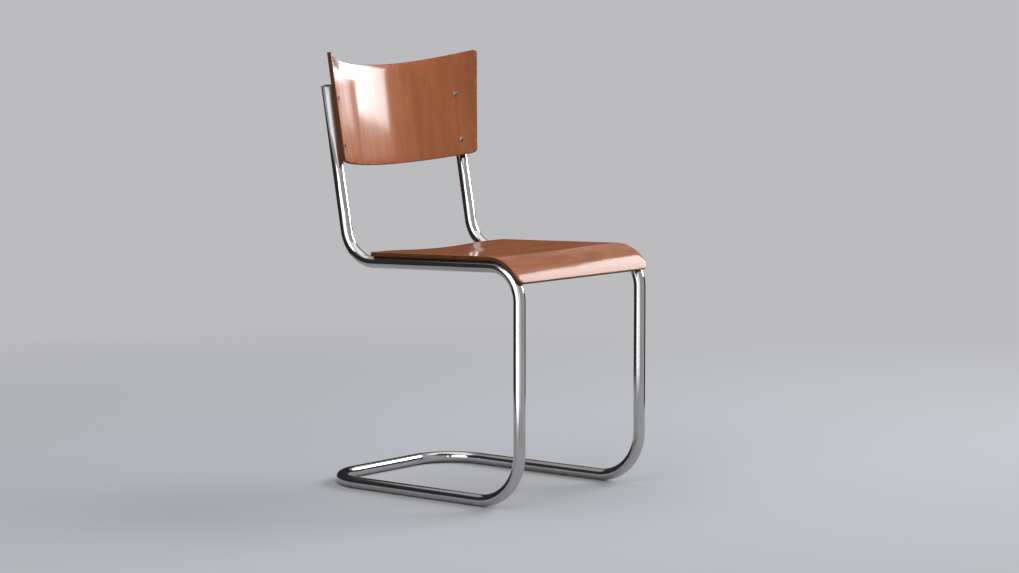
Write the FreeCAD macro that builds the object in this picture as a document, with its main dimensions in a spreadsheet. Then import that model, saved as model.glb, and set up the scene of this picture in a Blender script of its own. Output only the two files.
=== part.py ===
import FreeCAD, Part
import math
import os
import Sketcher

# Cantilever chair: one bent steel tube carries a moulded plywood seat and a moulded plywood back.
# Millimetres, +Z up, front towards -Y. The origin lies on the floor, under the middle of the whole chair.

SIZES = (
    ("tube_dia", 22.0),
    ("tube_wall", 1.5),
    ("frame_width", 364.0),
    ("frame_depth", 482.0),
    ("rail_height", 440.0),
    ("rail_length", 404.0),
    ("rail_slope", 1.5),
    ("upright_length", 331.0),
    ("upright_lean", 10.0),
    ("upright_bend", 68.0),
    ("knee_bend", 61.0),
    ("floor_bend", 92.0),
    ("corner_bend", 92.0),
    ("plug_wall", 1.0),
    ("plug_dome", 2.0),
    ("plug_depth", 14.0),
    ("plug_play", 0.1),
    ("rest_gap", 0.3),
    ("seat_ply", 8.0),
    ("seat_width", 392.0),
    ("seat_lip_wrap", 65.0),
    ("seat_tail", 1.0),
    ("seat_rear_corner", 30.0),
    ("seat_lip_corner", 12.0),
    ("back_ply", 7.5),
    ("back_radius", 304.0),
    ("back_low", 181.2),
    ("back_low_rise", 6.3),
    ("back_high", 375.5),
    ("back_high_rise", 14.7),
    ("back_low_width", 386.0),
    ("back_high_width", 426.5),
    ("back_low_corner", 9.0),
    ("back_high_corner", 6.5),
    ("back_screw_low", 216.0),
    ("back_screw_high", 306.0),
    ("screw_dia", 5.0),
    ("screw_play", 0.25),
    ("screw_seat_gap", 0.1),
    ("screw_reach", 4.5),
    ("head_dia", 10.0),
    ("head_height", 1.6),
    ("slot_width", 1.2),
    ("slot_depth", 0.9),
    ("seat_screw_front", 95.0),
    ("seat_screw_rear", 300.0),
    ("seat_screw_dia", 4.5),
    ("seat_screw_head_dia", 9.0),
    ("seat_screw_head", 2.2),
    ("seat_screw_access", 10.5),
    ("seat_screw_bite", 6.0),
    ("seat_screw_tip", 2.0),
)
# Sizes that follow from the driving ones. The back curves about an axis parallel to the uprights.
FOLLOWING = (
    ("side_x", "=frame_width / 2"),
    ("back_outer", "=back_radius + back_ply"),
    ("tube_ring", "=back_outer + rest_gap + tube_dia / 2"),
    ("screw_length", "=screw_seat_gap + back_ply + rest_gap + tube_wall + screw_reach"),
    ("back_axis", "=sqrt(tube_ring^2 - side_x^2)"),
    ("back_reach", "=back_high * sin(upright_lean) + (back_outer - back_axis) * cos(upright_lean)"),
    ("overall_depth", "=tube_dia / 2 + rail_length + back_reach"),
    ("leg_place", "=overall_depth / 2 - tube_dia / 2"),
    ("bar_place", "=frame_depth - leg_place"),
    ("corner_y", "=rail_length - leg_place"),
    ("corner_z", "=rail_height - rail_length * tan(rail_slope)"),
    ("seat_screw_level",
     "=sqrt((tube_dia / 2 - tube_wall)^2 - (seat_screw_head_dia / 2)^2) - screw_seat_gap"),
    ("seat_screw_length", "=tube_dia / 2 - seat_screw_level + rest_gap + seat_screw_bite"),
)

doc = FreeCAD.newDocument("cantilever_chair")
sheet = doc.addObject("Spreadsheet::Sheet", "sizes")
for row, (alias, value) in enumerate(SIZES + FOLLOWING, start=1):
    sheet.set("A%d" % row, alias)
    sheet.set("B%d" % row, str(value))
    sheet.setAlias("B%d" % row, alias)
doc.recompute()
V = {alias: float(sheet.get(alias)) for alias, value in SIZES + FOLLOWING}


def tan(degrees):
    return math.tan(math.radians(degrees))


def sin(degrees):
    return math.sin(math.radians(degrees))


def cos(degrees):
    return math.cos(math.radians(degrees))


def point(x, y):
    return FreeCAD.Vector(x, y, 0)


# Edges are picked by where they lie, to within this distance.
CLOSE = 0.01

# The same sizes as numbers, to draw each sketch near its solved shape.
TUBE_R = "sizes.tube_dia / 2"
tube_r = V["tube_dia"] / 2
side_x = V["side_x"]
leg_y = -V["leg_place"]
bar_y = V["bar_place"]
corner_y = V["corner_y"]
corner_z = V["corner_z"]

# Local frame of the uprights: origin where rail and upright axes meet, Z along the upright, +Y rearwards.
UPRIGHT_FRAME = (
    "placement(vector(0; sizes.corner_y; sizes.corner_z);"
    " rotation(vector(1; 0; 0); -sizes.upright_lean))"
)
# Local frame of the rails: origin where leg and rail axes meet, Y along the rail, rearwards.
RAIL_FRAME = (
    "placement(vector(0; -sizes.leg_place; sizes.rail_height);"
    " rotation(vector(1; 0; 0); -sizes.rail_slope))"
)
# Angle round the back's curve from its middle to an upright.
WRAP = "asin(sizes.side_x / sizes.tube_ring)"
back_axis = V["back_axis"]


def new_body(name):
    body = doc.addObject("PartDesign::Body", name)
    body.AllowCompound = True
    return body


def origin_plane(body, role):
    for feature in body.Origin.OriginFeatures:
        if feature.Role == role:
            return feature
    raise RuntimeError("no origin plane " + role)


def new_sketch(body, name, role, offset=None):
    sketch = body.newObject("Sketcher::SketchObject", name)
    sketch.AttachmentSupport = (origin_plane(body, role), [""])
    sketch.MapMode = "FlatFace"
    if offset is not None:
        sketch.setExpression("AttachmentOffset.Base.z", offset)
    return sketch


def constrain(sketch, *args):
    return sketch.addConstraint(Sketcher.Constraint(*args))


def size(sketch, name, expression, *args):
    index = constrain(sketch, *args)
    sketch.renameConstraint(index, name)
    sketch.setExpression("Constraints." + name, expression)


def segment(sketch, start, end, construction=False):
    return sketch.addGeometry(Part.LineSegment(point(*start), point(*end)), construction)


def arc(sketch, centre, radius, start, end):
    circle = Part.Circle(point(*centre), FreeCAD.Vector(0, 0, 1), radius)
    return sketch.addGeometry(Part.ArcOfCircle(circle, math.radians(start), math.radians(end)), False)


def ring(sketch, centre, radius):
    circle = Part.Circle(point(*centre), FreeCAD.Vector(0, 0, 1), radius)
    return sketch.addGeometry(circle, False)


# Frame tube
# The left side is drawn as one line of straight runs and tangent bends, swept, and mirrored.

def draw_side_path(body):
    sketch = new_sketch(body, "side_path", "YZ_Plane", "-sizes.side_x")
    slope = V["rail_slope"]
    lean = V["upright_lean"]
    knee_turn = 90 + slope
    upright_turn = 90 - lean + slope
    knee_cut = V["knee_bend"] * tan(knee_turn / 2)
    upright_cut = V["upright_bend"] * tan(upright_turn / 2)
    runner_start = (bar_y - V["corner_bend"], tube_r)
    floor_in = (leg_y + V["floor_bend"], tube_r)
    floor_out = (leg_y, tube_r + V["floor_bend"])
    knee_low = (leg_y, V["rail_height"] - knee_cut)
    knee_high = (leg_y + knee_cut * cos(slope), V["rail_height"] - knee_cut * sin(slope))
    rail_end = (corner_y - upright_cut * cos(slope), corner_z + upright_cut * sin(slope))
    upright_start = (corner_y + upright_cut * sin(lean), corner_z + upright_cut * cos(lean))
    upright_end = (
        corner_y + V["upright_length"] * sin(lean),
        corner_z + V["upright_length"] * cos(lean),
    )
    knee_centre = (leg_y + V["knee_bend"], V["rail_height"] - knee_cut)
    upright_centre = (
        rail_end[0] + V["upright_bend"] * sin(slope),
        rail_end[1] + V["upright_bend"] * cos(slope),
    )
    runner = segment(sketch, runner_start, floor_in)
    floor = arc(sketch, (floor_in[0], floor_out[1]), V["floor_bend"], 180, 270)
    leg = segment(sketch, floor_out, knee_low)
    knee = arc(sketch, knee_centre, V["knee_bend"], 90 - slope, 180)
    rail = segment(sketch, knee_high, rail_end)
    bend = arc(sketch, upright_centre, V["upright_bend"], 270 - slope, 360 - lean)
    upright = segment(sketch, upright_start, upright_end)
    front_corner = sketch.addGeometry(Part.Point(point(leg_y, V["rail_height"])), True)
    rear_corner = sketch.addGeometry(Part.Point(point(corner_y, corner_z)), True)
    constrain(sketch, "Tangent", runner, 2, floor, 2)
    constrain(sketch, "Tangent", floor, 1, leg, 1)
    constrain(sketch, "Tangent", leg, 2, knee, 2)
    constrain(sketch, "Tangent", knee, 1, rail, 1)
    constrain(sketch, "Tangent", rail, 2, bend, 1)
    constrain(sketch, "Tangent", bend, 2, upright, 1)
    constrain(sketch, "Horizontal", runner)
    constrain(sketch, "Vertical", leg)
    constrain(sketch, "PointOnObject", front_corner, 1, leg)
    constrain(sketch, "PointOnObject", front_corner, 1, rail)
    constrain(sketch, "PointOnObject", rear_corner, 1, rail)
    constrain(sketch, "PointOnObject", rear_corner, 1, upright)
    size(sketch, "runner_z", TUBE_R, "DistanceY", -1, 1, runner, 1, tube_r)
    size(sketch, "runner_y", "sizes.bar_place - sizes.corner_bend",
         "DistanceX", -1, 1, runner, 1, runner_start[0])
    size(sketch, "leg_y", "sizes.leg_place", "DistanceX", leg, 1, -1, 1, -leg_y)
    size(sketch, "floor_radius", "sizes.floor_bend", "Radius", floor, V["floor_bend"])
    size(sketch, "knee_radius", "sizes.knee_bend", "Radius", knee, V["knee_bend"])
    size(sketch, "upright_radius", "sizes.upright_bend", "Radius", bend, V["upright_bend"])
    size(sketch, "rail_place", "sizes.rail_height", "DistanceY", -1, 1, front_corner, 1, V["rail_height"])
    size(sketch, "corner_place", "sizes.rail_length",
         "DistanceX", front_corner, 1, rear_corner, 1, V["rail_length"])
    size(sketch, "corner_height", "sizes.corner_z", "DistanceY", -1, 1, rear_corner, 1, corner_z)
    size(sketch, "upright_reach", "sizes.upright_length * sin(sizes.upright_lean)",
         "DistanceX", rear_corner, 1, upright, 2, upright_end[0] - corner_y)
    size(sketch, "upright_rise", "sizes.upright_length * cos(sizes.upright_lean)",
         "DistanceY", rear_corner, 1, upright, 2, upright_end[1] - corner_z)
    return sketch


def draw_floor_path(body):
    sketch = new_sketch(body, "floor_path", "XY_Plane", TUBE_R)
    radius = V["corner_bend"]
    corner = arc(sketch, (-side_x + radius, bar_y - radius), radius, 90, 180)
    bar = segment(sketch, (-side_x + radius, bar_y), (0, bar_y))
    constrain(sketch, "Tangent", corner, 1, bar, 1)
    constrain(sketch, "Horizontal", bar)
    constrain(sketch, "PointOnObject", bar, 2, -2)
    constrain(sketch, "Horizontal", corner, 2, corner, 3)
    size(sketch, "corner_radius", "sizes.corner_bend", "Radius", corner, radius)
    size(sketch, "bar_y", "sizes.bar_place", "DistanceY", -1, 1, bar, 2, bar_y)
    size(sketch, "side", "sizes.side_x", "DistanceX", corner, 2, -1, 1, side_x)
    return sketch


def draw_tube_section(body):
    # The plane's normal points forwards, so a place behind the origin has a negative offset.
    sketch = new_sketch(body, "tube_section", "XZ_Plane", "sizes.corner_bend - sizes.bar_place")
    outer = ring(sketch, (-side_x, tube_r), tube_r)
    inner = ring(sketch, (-side_x, tube_r), tube_r - V["tube_wall"])
    constrain(sketch, "Coincident", outer, 3, inner, 3)
    size(sketch, "outer", TUBE_R, "Radius", outer, tube_r)
    size(sketch, "inner", "sizes.tube_dia / 2 - sizes.tube_wall", "Radius", inner, tube_r - V["tube_wall"])
    size(sketch, "side", "sizes.side_x", "DistanceX", outer, 3, -1, 1, side_x)
    size(sketch, "height", TUBE_R, "DistanceY", -1, 1, outer, 3, tube_r)
    return sketch


def drill(name, radius, length, frame, local):
    hole = doc.addObject("Part::Cylinder", name)
    hole.setExpression("Radius", radius)
    hole.setExpression("Height", length)
    hole.setExpression("Placement", frame + " * " + local)
    return hole


def back_screw_place(side, height, ring_radius):
    # Radial place on the curve of the back: local Z of a fastener points rearwards, away from the sitter.
    turn = "%d * %s" % (side, WRAP)
    return (
        "placement(vector(0; -sizes.back_axis; sizes.%s); rotation(vector(0; 0; 1); -(%s)))"
        " * placement(vector(0; %s; 0); rotation(vector(1; 0; 0); -90))"
    ) % (height, turn, ring_radius)


def seat_screw_place(side, distance, height):
    return "placement(vector(%d * sizes.side_x; sizes.%s; %s); rotation(vector(0; 0; 1); 0))" % (
        side, distance, height)


SIDES = (("left", -1), ("right", 1))
BACK_SCREWS = ("back_screw_low", "back_screw_high")
SEAT_SCREWS = ("seat_screw_front", "seat_screw_rear")
UPRIGHT_ENDS = ("upright_length",)


def make_frame_tube():
    body = new_body("tube_body")
    section = draw_tube_section(body)
    side_path = draw_side_path(body)
    floor_path = draw_floor_path(body)
    doc.recompute()
    sweeps = []
    for name, path in (("side_sweep", side_path), ("floor_sweep", floor_path)):
        sweep = body.newObject("PartDesign::AdditivePipe", name)
        sweep.Profile = section
        sweep.Spine = path
        doc.recompute()
        sweeps.append(sweep)
    mirror = body.newObject("PartDesign::Mirrored", "right_side")
    mirror.Originals = sweeps
    mirror.MirrorPlane = (origin_plane(body, "YZ_Plane"), [""])
    body.Tip = mirror
    doc.recompute()
    holes = []
    for side_name, side in SIDES:
        for height in BACK_SCREWS:
            holes.append(drill(
                "%s_hole_%s" % (height, side_name), "sizes.screw_dia / 2 + sizes.screw_seat_gap",
                "sizes.rest_gap + sizes.tube_dia / 2", UPRIGHT_FRAME,
                back_screw_place(side, height, "sizes.back_outer")))
        for distance in SEAT_SCREWS:
            for name, radius, start in (
                    ("hole", "sizes.seat_screw_dia / 2 + sizes.screw_play", "0"),
                    ("access", "sizes.seat_screw_access / 2", "-sizes.tube_dia / 2 - sizes.rest_gap")):
                holes.append(drill(
                    "%s_%s_%s" % (distance, name, side_name), radius,
                    "sizes.tube_dia / 2 + sizes.rest_gap", RAIL_FRAME,
                    seat_screw_place(side, distance, start)))
    tools = doc.addObject("Part::Compound", "tube_holes")
    tools.Links = holes
    cut = doc.addObject("Part::Cut", "frame_tube")
    cut.Base = body
    cut.Tool = tools
    return cut


# End plugs
# A domed button closes each upright, on a spigot inside the tube.

def make_end_plug(name, side, distance):
    body = new_body(name)
    sketch = new_sketch(body, name + "_profile", "XZ_Plane")
    bore = tube_r - V["tube_wall"] - V["plug_play"]
    dome = V["plug_dome"]
    dome_radius = (tube_r ** 2 + dome ** 2) / (2 * dome)
    rim = V["plug_wall"]
    top = rim + dome
    half = math.degrees(math.asin(tube_r / dome_radius))
    axis = segment(sketch, (0, -V["plug_depth"]), (0, top))
    foot = segment(sketch, (0, -V["plug_depth"]), (bore, -V["plug_depth"]))
    spigot = segment(sketch, (bore, -V["plug_depth"]), (bore, 0))
    shoulder = segment(sketch, (bore, 0), (tube_r, 0))
    wall = segment(sketch, (tube_r, 0), (tube_r, rim))
    crown = arc(sketch, (0, top - dome_radius), dome_radius, 90 - half, 90)
    for a, b, c, d in ((axis, 1, foot, 1), (foot, 2, spigot, 1), (spigot, 2, shoulder, 1),
                       (shoulder, 2, wall, 1), (wall, 2, crown, 1), (crown, 2, axis, 2)):
        constrain(sketch, "Coincident", a, b, c, d)
    constrain(sketch, "PointOnObject", axis, 1, -2)
    constrain(sketch, "PointOnObject", axis, 2, -2)
    constrain(sketch, "PointOnObject", crown, 3, -2)
    constrain(sketch, "Horizontal", foot)
    constrain(sketch, "Vertical", spigot)
    constrain(sketch, "PointOnObject", shoulder, 1, -1)
    constrain(sketch, "PointOnObject", shoulder, 2, -1)
    constrain(sketch, "Vertical", wall)
    size(sketch, "depth", "sizes.plug_depth", "DistanceY", axis, 1, -1, 1, V["plug_depth"])
    size(sketch, "spigot_radius", "sizes.tube_dia / 2 - sizes.tube_wall - sizes.plug_play",
         "DistanceX", axis, 1, foot, 2, bore)
    size(sketch, "rim_radius", TUBE_R, "DistanceX", -1, 1, shoulder, 2, tube_r)
    size(sketch, "rim", "sizes.plug_wall", "DistanceY", wall, 1, wall, 2, rim)
    size(sketch, "dome", "sizes.plug_dome", "DistanceY", wall, 2, axis, 2, dome)
    doc.recompute()
    turned = body.newObject("PartDesign::Revolution", name + "_turned")
    turned.Profile = sketch
    turned.ReferenceAxis = (sketch, ["V_Axis"])
    turned.Angle = 360
    body.Tip = turned
    body.setExpression("Placement", UPRIGHT_FRAME + (
        " * placement(vector(%d * sizes.side_x; 0; sizes.%s); rotation(vector(0; 0; 1); 0))"
        % (side, distance)))
    return body


# Seat shell
# Drawn from the side in the rails' own frame: a flat board whose front wraps down over the knee bends.

def round_corners(body, name, radius, test):
    doc.recompute()
    base = body.Tip
    edges = ["Edge%d" % (i + 1) for i, edge in enumerate(base.Shape.Edges) if test(edge)]
    if not edges:
        raise RuntimeError("no edges for " + name)
    fillet = body.newObject("PartDesign::Fillet", name)
    fillet.Base = (base, edges)
    fillet.setExpression("Radius", radius)
    body.Tip = fillet
    doc.recompute()
    return fillet


def make_seat_shell():
    body = new_body("seat_shell")
    sketch = new_sketch(body, "seat_profile", "YZ_Plane")
    slope = V["rail_slope"]
    inner = V["knee_bend"] + tube_r + V["rest_gap"]
    outer = inner + V["seat_ply"]
    centre = (V["knee_bend"] * tan((90 + slope) / 2), -V["knee_bend"])
    wrap = V["seat_lip_wrap"]
    rail = V["rail_length"] / cos(slope)
    tail = rail - V["upright_bend"] * tan((90 - V["upright_lean"] + slope) / 2) - V["seat_tail"]
    low = tube_r + V["rest_gap"]
    high = low + V["seat_ply"]
    lip_dir = (-sin(wrap), cos(wrap))
    lip_in = (centre[0] + inner * lip_dir[0], centre[1] + inner * lip_dir[1])
    lip_out = (centre[0] + outer * lip_dir[0], centre[1] + outer * lip_dir[1])
    under = segment(sketch, (centre[0], low), (tail, low))
    end = segment(sketch, (tail, low), (tail, high))
    over = segment(sketch, (tail, high), (centre[0], high))
    bend_out = arc(sketch, centre, outer, 90, 90 + wrap)
    lip = segment(sketch, lip_out, lip_in)
    bend_in = arc(sketch, centre, inner, 90, 90 + wrap)
    constrain(sketch, "Coincident", under, 2, end, 1)
    constrain(sketch, "Coincident", end, 2, over, 1)
    constrain(sketch, "Tangent", over, 2, bend_out, 1)
    constrain(sketch, "Coincident", bend_out, 2, lip, 1)
    constrain(sketch, "Coincident", lip, 2, bend_in, 2)
    constrain(sketch, "Tangent", bend_in, 1, under, 1)
    constrain(sketch, "Coincident", bend_in, 3, bend_out, 3)
    constrain(sketch, "Horizontal", under)
    constrain(sketch, "Vertical", end)
    constrain(sketch, "PointOnObject", bend_in, 3, lip)
    size(sketch, "underside", "sizes.tube_dia / 2 + sizes.rest_gap", "DistanceY", -1, 1, under, 2, low)
    size(sketch, "thickness", "sizes.seat_ply", "DistanceY", end, 1, end, 2, V["seat_ply"])
    size(sketch, "bend_place", "sizes.knee_bend * tan(45 + sizes.rail_slope / 2)",
         "DistanceX", -1, 1, bend_in, 3, centre[0])
    size(sketch, "bend_radius", "sizes.knee_bend + sizes.tube_dia / 2 + sizes.rest_gap",
         "Radius", bend_in, inner)
    size(sketch, "tail",
         "sizes.rail_length / cos(sizes.rail_slope) - sizes.seat_tail"
         " - sizes.upright_bend * tan(45 - sizes.upright_lean / 2 + sizes.rail_slope / 2)",
         "DistanceX", -1, 1, end, 1, tail)
    size(sketch, "wrap_reach",
         "(sizes.knee_bend + sizes.tube_dia / 2 + sizes.rest_gap) * sin(sizes.seat_lip_wrap)",
         "DistanceX", bend_in, 2, bend_in, 3, centre[0] - lip_in[0])
    doc.recompute()
    board = body.newObject("PartDesign::Pad", "seat_board")
    board.Profile = sketch
    board.Midplane = True
    board.setExpression("Length", "sizes.seat_width")
    body.Tip = board
    half = V["seat_width"] / 2

    def at_side(edge):
        box = edge.BoundBox
        return abs(abs(box.XMin) - half) < CLOSE and box.XLength < CLOSE

    def is_tail_corner(edge):
        return at_side(edge) and abs(edge.CenterOfMass.y - tail) < CLOSE and edge.Length < 2 * V["seat_ply"]

    def is_lip_corner(edge):
        middle = ((lip_in[0] + lip_out[0]) / 2, (lip_in[1] + lip_out[1]) / 2)
        near = math.hypot(edge.CenterOfMass.y - middle[0], edge.CenterOfMass.z - middle[1])
        return at_side(edge) and near < CLOSE

    round_corners(body, "tail_corners", "sizes.seat_rear_corner", is_tail_corner)
    round_corners(body, "lip_corners", "sizes.seat_lip_corner", is_lip_corner)
    pilots = new_sketch(body, "pilot_holes", "XY_Plane", "sizes.tube_dia / 2 + sizes.rest_gap")
    pilot_r = V["seat_screw_dia"] / 2 + V["screw_seat_gap"]
    for side_name, side in SIDES:
        for distance in SEAT_SCREWS:
            hole = ring(pilots, (side * side_x, V[distance]), pilot_r)
            tag = "%s_%s" % (distance, side_name)
            size(pilots, tag + "_radius", "sizes.seat_screw_dia / 2 + sizes.screw_seat_gap",
                 "Radius", hole, pilot_r)
            ends = (hole, 3, -1, 1) if side < 0 else (-1, 1, hole, 3)
            size(pilots, tag + "_x", "sizes.side_x", "DistanceX", *ends, side_x)
            size(pilots, tag + "_y", "sizes." + distance, "DistanceY", -1, 1, hole, 3, V[distance])
    doc.recompute()
    uncut = body.Shape.Volume
    pocket = body.newObject("PartDesign::Pocket", "pilots")
    pocket.Profile = pilots
    pocket.setExpression("Length", "sizes.seat_screw_bite + sizes.screw_seat_gap")
    pocket.Reversed = True
    body.Tip = pocket
    doc.recompute()
    if body.Shape.Volume >= uncut:
        raise RuntimeError("the pilot holes cut nothing")
    body.setExpression("Placement", RAIL_FRAME)
    return body


# Back shell
# A face bent to one radius is trimmed to its outline, seen square to the uprights, and thickened rearwards.

def make_back_shell():
    outline_body = new_body("back_outline_block")
    outline = draw_back_outline(outline_body)
    doc.recompute()
    block = outline_body.newObject("PartDesign::Pad", "back_block")
    block.Profile = outline
    block.Midplane = True
    block.setExpression("Length", "4 * sizes.back_radius")
    outline_body.Tip = block
    doc.recompute()

    def is_corner(edge, level):
        box = edge.BoundBox
        return box.YLength > V["back_radius"] and abs(box.ZMin - level) < CLOSE

    low_level = V["back_low"] + V["back_low_rise"]
    high_level = V["back_high"] + V["back_high_rise"]
    round_corners(outline_body, "low_corners", "sizes.back_low_corner", lambda e: is_corner(e, low_level))
    round_corners(outline_body, "high_corners", "sizes.back_high_corner", lambda e: is_corner(e, high_level))
    curve = doc.addObject("Sketcher::SketchObject", "back_curve")
    half_blank = V["back_high_width"] / 2 + V["back_ply"]
    reach = math.degrees(math.asin(half_blank / V["back_radius"]))
    front = arc(curve, (0, -back_axis), V["back_radius"], 90 - reach, 90 + reach)
    constrain(curve, "Symmetric", front, 1, front, 2, -2)
    size(curve, "radius", "sizes.back_radius", "Radius", front, V["back_radius"])
    size(curve, "axis_place", "sizes.back_axis", "DistanceY", front, 3, -1, 1, back_axis)
    size(curve, "half_blank", "sizes.back_high_width / 2 + sizes.back_ply",
         "DistanceX", -1, 1, front, 1, half_blank)
    face = doc.addObject("Part::Extrusion", "back_bent_face")
    face.Base = curve
    face.DirMode = "Normal"
    face.Solid = False
    face.setExpression("LengthFwd", "sizes.back_high + 2 * sizes.back_high_rise")
    skin = doc.addObject("Part::Common", "back_front_face")
    skin.Base = face
    skin.Tool = outline_body
    doc.recompute()
    board = doc.addObject("Part::Offset", "back_board")
    board.Source = skin
    board.Fill = True
    board.setExpression("Value", "-sizes.back_ply")
    doc.recompute()
    holes = []
    for side_name, side in SIDES:
        for height in BACK_SCREWS:
            hole = doc.addObject("Part::Cylinder", "back_%s_%s" % (height, side_name))
            hole.setExpression("Radius", "sizes.screw_dia / 2 + sizes.screw_play")
            hole.setExpression("Height", "sizes.back_ply + 2 * sizes.rest_gap")
            hole.setExpression("Placement", back_screw_place(
                side, height, "(sizes.back_radius - sizes.rest_gap)"))
            holes.append(hole)
    tools = doc.addObject("Part::Compound", "back_holes")
    tools.Links = holes
    cut = doc.addObject("Part::Cut", "back_shell")
    cut.Base = board
    cut.Tool = tools
    cut.setExpression("Placement", UPRIGHT_FRAME)
    return cut


def draw_back_outline(body):
    # Seen from the front: bottom and top edges are shallow arcs, lowest in the middle.
    sketch = new_sketch(body, "back_outline", "XZ_Plane")
    low = V["back_low"]
    high = V["back_high"]
    low_half = V["back_low_width"] / 2
    high_half = V["back_high_width"] / 2
    low_rise = V["back_low_rise"]
    high_rise = V["back_high_rise"]
    low_r = (low_half ** 2 + low_rise ** 2) / (2 * low_rise)
    high_r = (high_half ** 2 + high_rise ** 2) / (2 * high_rise)
    low_turn = math.degrees(math.asin(low_half / low_r))
    high_turn = math.degrees(math.asin(high_half / high_r))
    bottom = arc(sketch, (0, low + low_r), low_r, 270 - low_turn, 270 + low_turn)
    top = arc(sketch, (0, high + high_r), high_r, 270 - high_turn, 270 + high_turn)
    right = segment(sketch, (low_half, low + low_rise), (high_half, high + high_rise))
    left = segment(sketch, (-low_half, low + low_rise), (-high_half, high + high_rise))
    constrain(sketch, "Coincident", bottom, 2, right, 1)
    constrain(sketch, "Coincident", bottom, 1, left, 1)
    constrain(sketch, "Coincident", top, 2, right, 2)
    constrain(sketch, "Coincident", top, 1, left, 2)
    size(sketch, "low_radius",
         "((sizes.back_low_width / 2)^2 + sizes.back_low_rise^2) / (2 * sizes.back_low_rise)",
         "Radius", bottom, low_r)
    size(sketch, "high_radius",
         "((sizes.back_high_width / 2)^2 + sizes.back_high_rise^2) / (2 * sizes.back_high_rise)",
         "Radius", top, high_r)
    for name, line, place, half, level in (
            ("low", right, 1, "sizes.back_low_width / 2", "sizes.back_low + sizes.back_low_rise"),
            ("high", right, 2, "sizes.back_high_width / 2", "sizes.back_high + sizes.back_high_rise")):
        x = low_half if name == "low" else high_half
        z = low + low_rise if name == "low" else high + high_rise
        size(sketch, name + "_half", half, "DistanceX", -1, 1, line, place, x)
        size(sketch, name + "_level", level, "DistanceY", -1, 1, line, place, z)
    constrain(sketch, "Symmetric", right, 1, left, 1, -2)
    constrain(sketch, "Symmetric", right, 2, left, 2, -2)
    return sketch


# Back screws
# Each slotted screw runs from the front through the board and is tapped into the upright's front wall.

def make_back_screw(name, side, height):
    body = new_body(name)
    profile = new_sketch(body, name + "_profile", "XZ_Plane")
    head_r = V["head_dia"] / 2
    head = V["head_height"]
    dome_r = (head_r ** 2 + head ** 2) / (2 * head)
    half = math.degrees(math.asin(head_r / dome_r))
    shank = V["screw_dia"] / 2
    length = V["screw_length"]
    axis = segment(profile, (0, -head), (0, length))
    tip = segment(profile, (0, length), (shank, length))
    side_line = segment(profile, (shank, length), (shank, 0))
    under = segment(profile, (shank, 0), (head_r, 0))
    dome = arc(profile, (0, dome_r - head), dome_r, 270, 270 + half)
    for a, b, c, d in ((axis, 2, tip, 1), (tip, 2, side_line, 1), (side_line, 2, under, 1),
                       (under, 2, dome, 2), (dome, 1, axis, 1)):
        constrain(profile, "Coincident", a, b, c, d)
    constrain(profile, "PointOnObject", axis, 1, -2)
    constrain(profile, "PointOnObject", axis, 2, -2)
    constrain(profile, "PointOnObject", dome, 3, -2)
    constrain(profile, "Horizontal", tip)
    constrain(profile, "Vertical", side_line)
    constrain(profile, "PointOnObject", under, 1, -1)
    constrain(profile, "PointOnObject", under, 2, -1)
    size(profile, "head_radius", "sizes.head_dia / 2", "DistanceX", -1, 1, under, 2, head_r)
    size(profile, "head_height", "sizes.head_height", "DistanceY", axis, 1, -1, 1, head)
    size(profile, "shank_radius", "sizes.screw_dia / 2", "DistanceX", axis, 2, tip, 2, shank)
    size(profile, "length", "sizes.screw_length", "DistanceY", -1, 1, axis, 2, length)
    doc.recompute()
    turned = body.newObject("PartDesign::Revolution", name + "_turned")
    turned.Profile = profile
    turned.ReferenceAxis = (profile, ["V_Axis"])
    turned.Angle = 360
    body.Tip = turned
    doc.recompute()
    slot = body.newObject("PartDesign::SubtractiveBox", name + "_slot")
    slot.setExpression("Length", "2 * sizes.head_dia")
    slot.setExpression("Width", "sizes.slot_width")
    slot.setExpression("Height", "sizes.slot_depth")
    slot.setExpression("Placement", "placement(vector(-sizes.head_dia; -sizes.slot_width / 2;"
                       " -sizes.head_height); rotation(vector(0; 0; 1); 0))")
    body.Tip = slot
    body.setExpression("Placement", "%s * %s * placement(vector(0; 0; 0); rotation(vector(0; 0; 1); %d))" % (
        UPRIGHT_FRAME, back_screw_place(side, height, "(sizes.back_radius - sizes.screw_seat_gap)"),
        SLOT_TURNS[(side, height)]))
    return body


SLOT_TURNS = {
    (-1, "back_screw_low"): 20,
    (-1, "back_screw_high"): 75,
    (1, "back_screw_low"): -35,
    (1, "back_screw_high"): 50,
}


# Seat screws
# Driven upwards through each rail's upper wall into the underside of the seat. The round heads lie inside
# the tube, over an access hole in its lower wall.

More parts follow.
